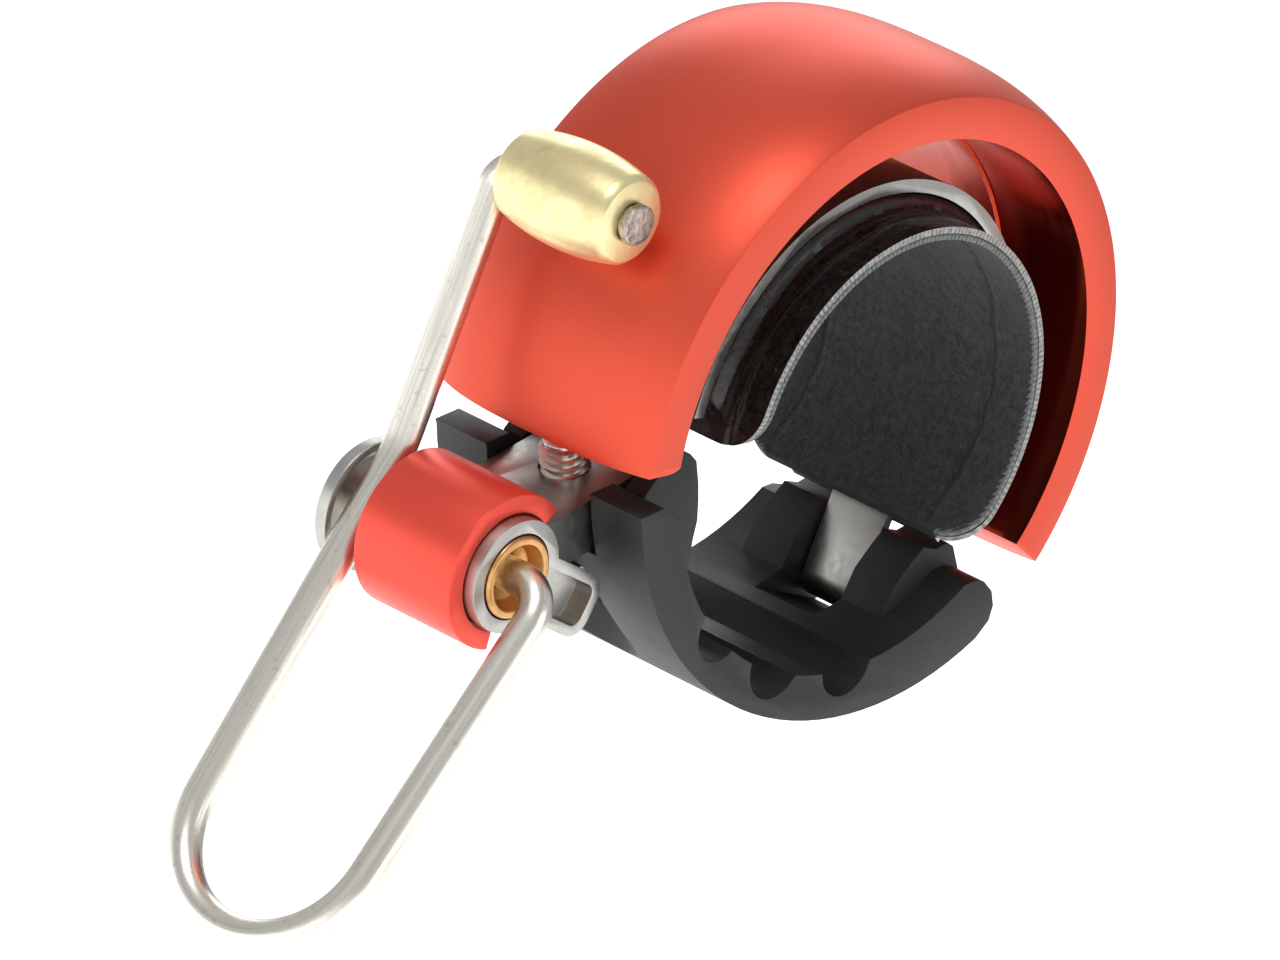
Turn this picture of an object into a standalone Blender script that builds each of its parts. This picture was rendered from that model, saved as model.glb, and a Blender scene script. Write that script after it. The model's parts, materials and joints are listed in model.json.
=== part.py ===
"""Ring bell for a 31.8 mm handlebar: a C-shaped bell, a hinged clamp and a sprung wire striker.

The bar runs along Y through the origin and +Z is up. Lengths are in millimetres until mm() turns
them into Blender's metres. Every round piece whose axis is the bar or the lever pivot runs along Y.
"""

import math

import bmesh
import bpy
from mathutils import Matrix, Vector

GAP = 0.3  # left between touching pieces

# Clamp, centred on the bar
BAR_RADIUS = 15.9
LINING_THICKNESS = 0.45
BACKING_THICKNESS = 0.5
LINER_GAP = 0.15
LINING_WIDTH = 25.2
LINING_ENDS = (-29.5, 195.8)  # degrees from +X
PAD_THICKNESS = 1.0  # the raised middle of the backing, under the saddle
SADDLE_THICKNESS = 1.1
SADDLE_WIDTH = 15.7
SADDLE_ENDS = (-27.5, 190.0)
TONGUE_WIDTH = 5.9
LEG_WIDTH = 9.0

# Bell
BELL_RADIUS = 27.2  # at either rim
BELL_CROWN = 1.7  # how much the middle stands out
BELL_WIDTH = 22.3
BELL_BORE = 23.7
BELL_STEP = 0.35  # the bore is this much smaller behind the step
BELL_STEP_Y = -2.2
BELL_ENDS = (-17.4, 197.4)
BELL_POST_ANGLE = 128.0

# Lower bracket
BRACKET_WIDTH = 22.2
BRACKET_OUTER = (28.0, 24.8)  # half-axes of the outer and inner ellipses
BRACKET_INNER = (22.4, 21.1)
BRACKET_INNER_X = -0.9
SCALLOPS = ((-10.2, -18.7, 2.6), (-1.9, -20.4, 3.0), (6.9, -19.3, 2.8))  # x, z, radius
ARM_GAP = 11.2  # between the two left arms
RIB_FACES = (3.25, 7.6)
SHELF = (-4.8, -6.8)  # the ledge under the lever frame that the screw pulls on

# Hinge of the bracket
HINGE = (18.3, -15.2)  # x, z
HINGE_PIN_RADIUS = 1.0
KNUCKLE_RADIUS = 2.1
RUNNING = 0.06

# Clamp screw, an M4 socket screw driven from below. It leans, and so does the steel arm it
# threads into: distances along and above the arm's top face count from where the two meet.
RAMP = (-22.0, -10.6)  # x, z
RAMP_SLOPE = 33.0
ARM_THICKNESS = 4.5
ARM_WIDTH = 10.1
ARM_END = 3.5
SCREW_RADIUS = 2.0
SCREW_TIP = 2.9
SCREW_HEAD_RADIUS = 3.5
SCREW_HEAD_HEIGHT = 2.8
SCREW_DRIFT = 1.5  # how far the bracket moves across the screw as it opens
WASHER_RADIUS = 3.6
WASHER_THICKNESS = 0.8
RIVET_Y = 3.4
RIVET_RADIUS = 0.7

# Lever pivot
PIVOT = (-31.8, -18.5)  # x, z
WIRE_RADIUS = 1.4
KNUCKLE_TUBE = (3.55, 4.65)
KNUCKLE_FACES = (-7.0, 4.0)
SLEEVE = (4.8, 6.4)
SLEEVE_FACES = (-6.0, 4.3)
EAR_WIDTH = 5.3
EAR_LENGTH = 10.6  # from the pivot
EAR_CORNER = 1.8
EAR_WALL = 0.9
EAR_TILT = -8.0
SLEEVE_ENDS = (60.0, 280.0)
BUSH = (1.5, 3.45)
CUP_RADIUS = 5.4
CUP_FACES = (8.4, 9.8)

# Wire lever and hammer
NEAR_LEG_Y = -10.5
FAR_LEG_Y = 6.6
LOOP_FOOT = (-43.7, -50.85)  # x, z of either corner of the finger loop before it's rounded
LOOP_RADIUS = 8.45
WAIST = (-33.7, -13.5)  # x, z where the far leg straightens up
HAMMER_RADIUS = 4.3
HAMMER_END_RADIUS = 3.45
HAMMER_LENGTH = 11.6
HAMMER_CENTRE = (-32.75, -0.1, 10.1)

AROUND = 96  # steps in a full turn of the large round pieces


def mm(*values):
    """Millimetres as metres: one number, or a Vector of three."""
    scaled = [value * 0.001 for value in values]
    return scaled[0] if len(scaled) == 1 else Vector(scaled)


def clear_scene():
    for obj in list(bpy.data.objects):
        bpy.data.objects.remove(obj)


def make_material(name, colour, roughness, metallic):
    material = bpy.data.materials.new(name)
    material.use_nodes = True
    shader = material.node_tree.nodes["Principled BSDF"]
    shader.inputs["Base Color"].default_value = (*colour, 1)
    shader.inputs["Roughness"].default_value = roughness
    shader.inputs["Metallic"].default_value = metallic
    return material


def cutter_collection():
    name = "cutters"
    if name not in bpy.data.collections:
        bpy.context.scene.collection.children.link(bpy.data.collections.new(name))
    return bpy.data.collections[name]


def place(name, mesh, location=(0, 0, 0), rotation=(0, 0, 0)):
    obj = bpy.data.objects.new(name, mesh)
    obj.location = mm(*location)
    obj.rotation_euler = [math.radians(angle) for angle in rotation]
    bpy.context.scene.collection.objects.link(obj)
    return obj


def as_tool(obj):
    """Sets an object aside as a Boolean tool, which isn't a part of the bell."""
    for collection in list(obj.users_collection):
        collection.objects.unlink(obj)
    cutter_collection().objects.link(obj)
    obj.hide_render = True
    obj.display_type = "WIRE"
    return obj


def boolean(obj, tool, operation):
    modifier = obj.modifiers.new(tool.name, "BOOLEAN")
    modifier.object = as_tool(tool)
    modifier.operation = operation
    modifier.solver = "EXACT"


def cut(obj, *tools):
    for tool in tools:
        boolean(obj, tool, "DIFFERENCE")
    return obj


def join(obj, *tools):
    for tool in tools:
        boolean(obj, tool, "UNION")
    return obj


def finish(obj, material, smooth_angle=35):
    obj.data.materials.append(material)
    if smooth_angle:
        obj.data.shade_smooth()
        obj.data.set_sharp_from_angle(angle=math.radians(smooth_angle))
    return obj


def box(name, low, high):
    """A box between two corners."""
    shape = bmesh.new()
    size = [b - a for a, b in zip(low, high)]
    middle = [(a + b) / 2 for a, b in zip(low, high)]
    matrix = Matrix.Translation(mm(*middle)) @ Matrix.Diagonal((*mm(*size), 1))
    bmesh.ops.create_cube(shape, size=1, matrix=matrix)
    mesh = bpy.data.meshes.new(name)
    shape.to_mesh(mesh)
    shape.free()
    return place(name, mesh)


def cylinder(name, radius, start, end, steps=32):
    """A cylinder between two points."""
    start, end = Vector(start), Vector(end)
    turn = (end - start).to_track_quat("Z", "Y").to_matrix().to_4x4()
    matrix = Matrix.Translation((start + end) / 2 * 0.001) @ turn
    shape = bmesh.new()
    bmesh.ops.create_cone(
        shape, cap_ends=True, segments=steps, radius1=mm(radius), radius2=mm(radius),
        depth=mm((end - start).length), matrix=matrix,
    )
    mesh = bpy.data.meshes.new(name)
    shape.to_mesh(mesh)
    shape.free()
    return place(name, mesh)


def along_y(name, radius, x, z, faces, steps=32):
    return cylinder(name, radius, (x, faces[0], z), (x, faces[1], z), steps)


def turned(name, profile, steps=AROUND, location=(0, 0, 0), rotation=(-90, 0, 0)):
    """A closed profile of (radius, distance along Y) points, turned about the Y axis."""
    mesh = bpy.data.meshes.new(name)
    points = [mm(radius, 0, along) for radius, along in reversed(profile)]
    edges = [(i, (i + 1) % len(points)) for i in range(len(points))]
    mesh.from_pydata(points, edges, [])
    obj = place(name, mesh, location, rotation)
    screw = obj.modifiers.new("turn", "SCREW")
    screw.axis = "Z"
    screw.steps = screw.render_steps = steps
    screw.use_merge_vertices = True
    screw.merge_threshold = 0.00001
    return obj


def plate(name, outline, faces):
    """A flat outline of (x, z) points, as thick as the distance between its two faces along Y."""
    curve = bpy.data.curves.new(name, "CURVE")
    curve.dimensions = "2D"
    curve.fill_mode = "BOTH"
    curve.extrude = mm(faces[1] - faces[0]) / 2
    spline = curve.splines.new("POLY")
    spline.points.add(len(outline) - 1)
    for point, (x, z) in zip(spline.points, outline):
        point.co = (*mm(x, z, 0), 1)
    spline.use_cyclic_u = True
    flat = bpy.data.objects.new(name + "_outline", curve)
    bpy.context.scene.collection.objects.link(flat)
    graph = bpy.context.evaluated_depsgraph_get()
    mesh = bpy.data.meshes.new_from_object(flat.evaluated_get(graph))
    bpy.data.objects.remove(flat)
    shape = bmesh.new()
    shape.from_mesh(mesh)
    bmesh.ops.remove_doubles(shape, verts=shape.verts, dist=1e-6)
    bmesh.ops.recalc_face_normals(shape, faces=shape.faces)
    shape.to_mesh(mesh)
    shape.free()
    return place(name, mesh, (0, (faces[0] + faces[1]) / 2, 0), (90, 0, 0))


def on_circle(radius, degrees, centre=(0, 0)):
    angle = math.radians(degrees)
    return centre[0] + radius * math.cos(angle), centre[1] + radius * math.sin(angle)


def arc(radius, start, end, centre=(0, 0), step=3.75):
    """Points along an arc, both ends included. A pair of radii makes it elliptical."""
    across, up = radius if isinstance(radius, tuple) else (radius, radius)
    count = max(1, round(abs(end - start) / step))
    angles = [math.radians(start + (end - start) * i / count) for i in range(count + 1)]
    return [(centre[0] + across * math.cos(a), centre[1] + up * math.sin(a)) for a in angles]


def band(name, radii, ends, faces, step=3.75):
    """Part of a ring about the bar, between two radii and two angles."""
    inner, outer = radii
    outline = arc(inner, *ends, step=step) + arc(outer, *reversed(ends), step=step)
    return plate(name, outline, faces)


def middle_faces(width):
    return -width / 2, width / 2


def centre_rod(name, points, radius, resolution=2):
    """A round wire through the points, with closed ends."""
    curve = bpy.data.curves.new(name, "CURVE")
    curve.dimensions = "3D"
    curve.bevel_depth = mm(radius)
    curve.bevel_resolution = resolution
    curve.use_fill_caps = True
    spline = curve.splines.new("POLY")
    spline.points.add(len(points) - 1)
    for point, where in zip(spline.points, points):
        point.co = (*mm(*where), 1)
    wire = bpy.data.objects.new(name, curve)
    bpy.context.scene.collection.objects.link(wire)
    return wire


def turn_corner(before, corner, after, radius, steps=6):
    """Points of a rounded corner of a wire between two straight stretches."""
    before, corner, after = Vector(before), Vector(corner), Vector(after)
    into, out = (corner - before).normalized(), (after - corner).normalized()
    half = into.angle(out) / 2
    back = radius * math.tan(half)
    start = corner - into * back
    side = (out - into).normalized()
    centre = corner + side * (radius / math.cos(half))
    spin = into.cross(out).normalized()
    return [
        centre + Matrix.Rotation(2 * half * i / steps, 3, spin) @ (start - centre)
        for i in range(steps + 1)
    ]


# Clamp ----------------------------------------------------------------------------------------


def lining_radii():
    return BAR_RADIUS, BAR_RADIUS + LINING_THICKNESS


def backing_radii():
    inner = BAR_RADIUS + LINING_THICKNESS + LINER_GAP
    return inner, inner + BACKING_THICKNESS


def saddle_radii():
    inner = backing_radii()[1] + PAD_THICKNESS + LINER_GAP
    return inner, inner + SADDLE_THICKNESS


def post_axis(distance):
    """A point on the axis of the bell's post, which stands straight out from the bar."""
    x, z = on_circle(distance, BELL_POST_ANGLE)
    return x, 0, z


def add_felt_lining(material):
    lining = band("felt_lining", lining_radii(), LINING_ENDS, middle_faces(LINING_WIDTH))
    return finish(lining, material)


def add_band_backing(material):
    """A thin sheet behind the felt, with a thicker pad that fills the saddle."""
    inner, outer = backing_radii()
    backing = band("band_backing", (inner, outer), LINING_ENDS, middle_faces(LINING_WIDTH))
    pad_radii = (outer - 0.3, outer + PAD_THICKNESS)
    pad_ends = (LINING_ENDS[0] + 1, LINING_ENDS[1] - 1)
    join(backing, band("pad", pad_radii, pad_ends, middle_faces(SADDLE_WIDTH + 0.3)))
    head_pocket = cylinder("head_pocket", 3.1, post_axis(outer + 0.05), post_axis(outer + 3))
    return finish(cut(backing, head_pocket), material)


def add_saddle_band(material):
    """The steel band over the bar: a tongue for the hinge on one side, a leg on the other."""
    inner, outer = saddle_radii()
    saddle = band("saddle_band", (inner, outer), SADDLE_ENDS, middle_faces(SADDLE_WIDTH))
    middle = (inner + 0.05, outer - 0.05)
    start, end = SADDLE_ENDS[0] + 12, SADDLE_ENDS[1] - 15

    face = HINGE[0] - KNUCKLE_RADIUS
    down = SADDLE_ENDS[0] - 0.4
    tongue = arc(middle[0], start, down) + [(face, HINGE[1]), (face + SADDLE_THICKNESS, HINGE[1])]
    tongue += arc(middle[1], down, start)

    touch = ARM_END + 0.15
    leg = arc(middle[0], end, SADDLE_ENDS[1]) + [(-middle[0], -7.3), ramp(touch + 1.1, -0.3)]
    leg += [ramp(touch + 1.1, -ARM_THICKNESS), ramp(touch, -ARM_THICKNESS), ramp(touch, 0.0)]
    leg += [(-middle[1], -7.6)] + arc(middle[1], SADDLE_ENDS[1], end)

    tongue_faces = middle_faces(TONGUE_WIDTH)
    join(
        saddle,
        plate("tongue", tongue, tongue_faces),
        along_y("knuckle", KNUCKLE_RADIUS, *HINGE, tongue_faces),
        plate("leg", leg, middle_faces(LEG_WIDTH)),
    )
    cut(
        saddle,
        along_y("hinge_hole", HINGE_PIN_RADIUS + RUNNING, *HINGE, (-5, 5)),
        cylinder("post_hole", 1.7, post_axis(inner - 2), post_axis(outer + 2)),
        rivet_rod("near_rivet_hole", RIVET_RADIUS + 0.05, -RIVET_Y, 9, 1),
        rivet_rod("far_rivet_hole", RIVET_RADIUS + 0.05, RIVET_Y, 9, 1),
    )
    return finish(saddle, material)


def rivet_rod(name, radius, y, start, end):
    """A cylinder across the joint of the band's leg and the lever frame's arm."""
    low, high = ramp(start, -2.3), ramp(end, -2.3)
    return cylinder(name, radius, (low[0], y, low[1]), (high[0], y, high[1]), 20)


def add_rivet(name, y, material):
    face = ARM_END + 0.15 + SADDLE_THICKNESS + 0.1
    rivet = rivet_rod(name, 1.2, y, face + 0.5, face)
    join(rivet, rivet_rod(name + "_shank", RIVET_RADIUS, y, face + 0.2, 2.0))
    return finish(rivet, material)


# Bell -----------------------------------------------------------------------------------------


def bell_profile():
    """The wall's section: a crowned outside and a stepped bore."""
    half = BELL_WIDTH / 2
    count = 14
    outside = []
    for i in range(count + 1):
        along = 2 * i / count - 1
        crown = BELL_CROWN * (1 - abs(along) ** 3)
        outside.append((BELL_RADIUS + crown, along * half))
    small = BELL_BORE - BELL_STEP
    bore = [(small, half), (small, BELL_STEP_Y), (BELL_BORE, BELL_STEP_Y), (BELL_BORE, -half)]
    return outside + bore


def add_bell_shell(material):
    bell = turned("bell_shell", bell_profile())
    far = 2 * BELL_RADIUS
    wedge = [(0, 0), on_circle(far, BELL_ENDS[1]), (-far, -far), (far, -far)]
    wedge.append(on_circle(far, BELL_ENDS[0]))
    cut(bell, plate("bell_gap", wedge, middle_faces(2 * BELL_WIDTH)))
    return finish(bell, material)


def add_bell_post(material):
    """The stub that stands the bell off the saddle."""
    low = saddle_radii()[1] + 1.45
    post = cylinder("bell_post", 3.4, post_axis(low), post_axis(BELL_BORE - BELL_STEP - 0.45))
    hole = cylinder("post_thread", 1.55, post_axis(low - 1), post_axis(low + 2.0))
    return finish(cut(post, hole), material)


def add_isolator_washer(material):
    low = saddle_radii()[1] + 0.2
    washer = cylinder("isolator_washer", 4.2, post_axis(low), post_axis(low + 1.05))
    hole = cylinder("isolator_hole", 1.7, post_axis(low - 1), post_axis(low + 3))
    return finish(cut(washer, hole), material)


def add_post_screw(material):
    inner, outer = saddle_radii()
    screw = cylinder("post_screw", 2.7, post_axis(inner - 1), post_axis(inner - 0.45), 24)
    join(screw, cylinder("post_shank", 1.4, post_axis(inner - 0.7), post_axis(outer + 3.2), 24))
    return finish(screw, material)


# Lower bracket --------------------------------------------------------------------------------


def bracket_outline():
    inner_centre = (BRACKET_INNER_X, 0)
    outside = arc(BRACKET_OUTER, 208, 322, step=3.6)
    right_top = [(22.9, -13.6), (22.7, -12.3), (21.8, -11.2), (20.4, -10.6), (19.2, -10.7)]
    inside = arc(BRACKET_INNER, 328, 212, inner_centre, step=3.6)
    left_top = [(-21.2, -10.5), (-22.75, -10.1), (-25.1, -11.3)]
    return outside + right_top + inside + left_top


def add_lower_bracket(material):
    """The black cradle under the bar, with channels for cables and pockets for the steel."""
    bracket = plate("lower_bracket", bracket_outline(), middle_faces(BRACKET_WIDTH))
    right_rib = [(15.9, -9.6), (17.6, -9.5), (18.7, -8.8), (19.6, -9.0), (22.1, -11.6)]
    right_rib += [(22.0, -15.0), (16.5, -18.7), (13.8, -16.8), (14.1, -13.2), (15.1, -11.0)]
    left_rib = [(-21.0, -10.2), (-19.9, -7.8), (-18.6, -6.3), (-17.5, -6.15), (-16.4, -6.6)]
    left_rib += [(-15.2, -8.2), (-14.35, -9.6), (-13.55, -11.2), (-13.2, -12.8), (-12.6, -14.6)]
    left_rib += [(-12.2, -17.9), (-17.0, -18.4), (-20.6, -15.6)]
    near, far = RIB_FACES
    join(
        bracket,
        plate("near_rib", right_rib, (-far, -near)),
        plate("far_rib", right_rib, (near, far)),
        plate("left_rib", left_rib, (-far, far)),
    )
    channels = [
        along_y("channel", radius, x, z, middle_faces(BRACKET_WIDTH + 4), 24)
        for x, z, radius in SCALLOPS
    ]
    floor, under = SHELF
    slot = [ramp(-16, floor), ramp(8, floor), ramp(8, 12), ramp(-16, 12)]
    screw_slot = [ramp(0, -2), ramp(SCREW_DRIFT, -2), ramp(SCREW_DRIFT, -9), ramp(0, -9)]
    hole = SCREW_RADIUS + 0.3
    cut(
        bracket,
        *channels,
        plate("arm_gap", slot, middle_faces(ARM_GAP)),
        ramp_rod("screw_hole", hole, 0, -2, -9),
        ramp_rod("screw_hole_end", hole, SCREW_DRIFT, -2, -9),
        plate("screw_slot", screw_slot, middle_faces(2 * hole - 0.1)),
        ramp_rod("head_pocket", WASHER_RADIUS + SCREW_DRIFT / 2 + 0.35, SCREW_DRIFT / 2, under, -22),
        box("tongue_slot", (9, -near, -17.7), (20.9, near, 0)),
        along_y("pin_hole", HINGE_PIN_RADIUS + RUNNING, *HINGE, (-7.1, 7.1)),
    )
    return finish(bracket, material)


def add_hinge_pin(material):
    return finish(along_y("hinge_pin", HINGE_PIN_RADIUS, *HINGE, (-6.8, 6.8)), material)


# Clamp screw ----------------------------------------------------------------------------------


def ramp(along, above):
    """A point (x, z) from its distances along and above the top face of the steel arm."""
    slope = math.radians(RAMP_SLOPE)
    x = RAMP[0] + along * math.cos(slope) - above * math.sin(slope)
    return x, RAMP[1] + along * math.sin(slope) + above * math.cos(slope)


def ramp_rod(name, radius, along, high, low, steps=32):
    """A cylinder square to the steel arm's top face."""
    top, bottom = ramp(along, high), ramp(along, low)
    return cylinder(name, radius, (top[0], 0, top[1]), (bottom[0], 0, bottom[1]), steps)


def washer_top():
    return SHELF[1] - GAP


def add_clamp_washer(material):
    top = washer_top()
    washer = ramp_rod("clamp_washer", WASHER_RADIUS, 0, top, top - WASHER_THICKNESS)
    hole = ramp_rod("washer_hole", SCREW_RADIUS + 0.15, 0, top + 1, top - 2)
    return finish(cut(washer, hole), material)


def add_clamp_screw(material):
    top = washer_top() - WASHER_THICKNESS - 0.15
    bottom = top - SCREW_HEAD_HEIGHT
    screw = ramp_rod("clamp_screw", SCREW_HEAD_RADIUS, 0, top, bottom, 40)
    shank = ramp_rod("shank", SCREW_RADIUS, 0, SCREW_TIP, top - 0.5)
    socket = ramp_rod("socket", 1.44, 0, bottom + 1.8, bottom - 1, 6)
    return finish(cut(join(screw, shank), socket), material)


# Lever pivot ----------------------------------------------------------------------------------


def pivot_point(along=0):
    return PIVOT[0], along, PIVOT[1]


def tube_profile(radii, faces):
    inner, outer = radii
    near, far = faces
    return [(outer, near), (outer, far), (inner, far), (inner, near)]


def around_pivot(distance, height, tilt=EAR_TILT):
    """A point (x, z) at a distance along the ear and a height above its middle line."""
    turn = math.radians(tilt)
    x = PIVOT[0] + distance * math.cos(turn) - height * math.sin(turn)
    return x, PIVOT[1] + distance * math.sin(turn) + height * math.cos(turn)


def ear_outline(inset):
    """The lug beside the tube, a strip with rounded corners at its free end."""
    half = EAR_WIDTH / 2 - inset
    centre = EAR_LENGTH - EAR_CORNER
    flat = arc(EAR_CORNER - inset, -90, 0, (centre, -EAR_WIDTH / 2 + EAR_CORNER), step=15)
    flat += arc(EAR_CORNER - inset, 0, 90, (centre, EAR_WIDTH / 2 - EAR_CORNER), step=15)
    flat = [(2.5, -half)] + flat + [(2.5, half)]
    return [around_pivot(along, height) for along, height in flat]


def add_lever_frame(material):
    """The steel arm riveted to the band, with the tube that the lever turns in."""
    frame = turned("lever_frame", tube_profile(KNUCKLE_TUBE, KNUCKLE_FACES), 40, pivot_point())
    arm = [ramp(-11, -ARM_THICKNESS), ramp(ARM_END, -ARM_THICKNESS), ramp(ARM_END, 0)]
    arm += [ramp(-11, 0)]
    near = KNUCKLE_FACES[0]
    join(
        frame,
        plate("arm", arm, middle_faces(ARM_WIDTH)),
        plate("ear", ear_outline(0), (near, near + 2.5)),
    )
    cut(
        frame,
        along_y("far_relief", KNUCKLE_TUBE[1] + 0.4, *PIVOT, (KNUCKLE_FACES[1], 9), 40),
        plate("ear_pocket", ear_outline(EAR_WALL), (near - 1, near + 1.8)),
        along_y("tube_bore", KNUCKLE_TUBE[0], *PIVOT, (-9, 6), 40),
        ramp_rod("thread_hole", SCREW_RADIUS + 0.08, 0, 2, -7),
        rivet_rod("near_rivet_hole", RIVET_RADIUS + 0.05, -RIVET_Y, 5, 1.7),
        rivet_rod("far_rivet_hole", RIVET_RADIUS + 0.05, RIVET_Y, 5, 1.7),
    )
    return finish(frame, material)


def add_pivot_sleeve(material):
    sleeve = turned("pivot_sleeve", tube_profile(SLEEVE, SLEEVE_FACES), 64, pivot_point())
    opening = [PIVOT, on_circle(12, SLEEVE_ENDS[1] - 360, PIVOT), on_circle(16, -25, PIVOT)]
    opening += [on_circle(16, 10, PIVOT), on_circle(12, SLEEVE_ENDS[0], PIVOT)]
    return finish(cut(sleeve, plate("sleeve_gap", opening, (-9, 9))), material)


def add_near_bush(material):
    bore, outer = BUSH
    near, far = -7.3, -3.4
    outer -= 0.05
    profile = [(outer - 0.15, near), (outer, near + 0.2), (outer, far), (bore, far)]
    profile += [(bore, near + 2.0), (2.35, near + 1.4), (2.75, near)]
    return finish(turned("near_bush", profile, 40, pivot_point()), material)


def add_far_bush(material):
    radii = (BUSH[0], BUSH[1] - 0.05)
    return finish(turned("far_bush", tube_profile(radii, (0.9, 4.1)), 40, pivot_point()), material)


def add_return_spring(material):
    """A torsion spring of five turns around the lever's axle."""
    turns, per_turn, mean = 5, 16, 2.45
    start, end = -2.9, 0.3
    points = [(PIVOT[0] + 1.8, start, PIVOT[1])]
    for i in range(turns * per_turn + 1):
        x, z = on_circle(mean, 360 * i / per_turn, PIVOT)
        points.append((x, start + (end - start) * i / (turns * per_turn), z))
    points.append((PIVOT[0] + 3.1, end, PIVOT[1]))
    return finish(as_mesh(centre_rod("return_spring", points, 0.27, 1)), material)


def add_end_cup(material):
    """The cupped washer on the axle's far end, which keeps the far leg in place."""
    near, far = CUP_FACES
    rim = CUP_RADIUS - 0.75
    profile = [(CUP_RADIUS, near), (CUP_RADIUS, far - 0.35), (CUP_RADIUS - 0.35, far)]
    profile += [(WIRE_RADIUS + 0.1, far), (WIRE_RADIUS + 0.1, far - 0.7)]
    profile += [(rim - 0.5, far - 0.7), (rim, near + 0.3), (rim, near)]
    return finish(turned("end_cup", profile, 48, pivot_point()), material)


# Wire lever and hammer ------------------------------------------------------------------------


def hammer_axis(distance):
    """A point on the hammer's axis; a positive distance is towards its near end."""
    x, y, z = HAMMER_CENTRE
    return x, y - distance, z


def lever_route():
    """The wire's centre line, from the axle's far end round the finger loop to the hammer."""
    foot_x, foot_z = LOOP_FOOT
    corners = [
        (pivot_point(CUP_FACES[1] - 0.15), None),
        (pivot_point(NEAR_LEG_Y), 3.0),
        ((foot_x, NEAR_LEG_Y, foot_z), LOOP_RADIUS),
        ((foot_x, FAR_LEG_Y, foot_z), LOOP_RADIUS),
        ((WAIST[0], FAR_LEG_Y, WAIST[1]), 14.0),
        (hammer_axis(-HAMMER_LENGTH / 2 - 2.0), 1.9),
        (hammer_axis(HAMMER_LENGTH / 2 + 0.95), None),
    ]
    route = [corners[0][0]]
    for i in range(1, len(corners) - 1):
        where, radius = corners[i]
        steps = 12 if radius > 8 else 6
        route += turn_corner(corners[i - 1][0], where, corners[i + 1][0], radius, steps)
    return route + [corners[-1][0]]


def as_mesh(wire):
    """A curve object remade as a closed mesh object of the same name."""
    name = wire.name
    graph = bpy.context.evaluated_depsgraph_get()
    mesh = bpy.data.meshes.new_from_object(wire.evaluated_get(graph))
    bpy.data.objects.remove(wire)
    mesh.name = name
    shape = bmesh.new()
    shape.from_mesh(mesh)
    bmesh.ops.remove_doubles(shape, verts=shape.verts, dist=1e-6)
    bmesh.ops.recalc_face_normals(shape, faces=shape.faces)
    shape.to_mesh(mesh)
    shape.free()
    return place(name, mesh)


def add_wire_lever(material):
    lever = as_mesh(centre_rod("wire_lever", lever_route(), WIRE_RADIUS, 3))
    half = HAMMER_LENGTH / 2
    stub = cylinder("stub", 1.65, hammer_axis(half + 0.25), hammer_axis(half + 1.0), 24)
    return finish(join(lever, stub), material, 50)


def add_hammer(material):
    """A barrel-shaped brass striker, free to turn on the wire's end."""
    half = HAMMER_LENGTH / 2
    bore = WIRE_RADIUS + 0.08
    swell = HAMMER_RADIUS - HAMMER_END_RADIUS
    outside = []
    for i in range(13):
        along = -half + 0.6 + (HAMMER_LENGTH - 1.2) * i / 12
        outside.append((HAMMER_END_RADIUS + 0.1 + swell * (1 - (along / half) ** 2), along))
    profile = [(HAMMER_END_RADIUS - 0.2, -half)] + outside + [(HAMMER_END_RADIUS - 0.6, half)]
    profile += [(bore, half), (bore, -half)]
    return finish(turned("hammer", profile, 48, HAMMER_CENTRE), material)


# Assembly -------------------------------------------------------------------------------------


def hang(children, name, point, rotation=(0, 0, 0)):
    """Parents a moving piece's nodes to an empty on its joint's axis, leaving them where they are."""
    pivot = bpy.data.objects.new(name, None)
    pivot.location = mm(*point)
    pivot.rotation_euler = rotation
    bpy.context.scene.collection.objects.link(pivot)
    bpy.context.view_layer.update()
    for child in children:
        child.parent = pivot
        child.matrix_parent_inverse = pivot.matrix_world.inverted()
    return pivot


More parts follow.
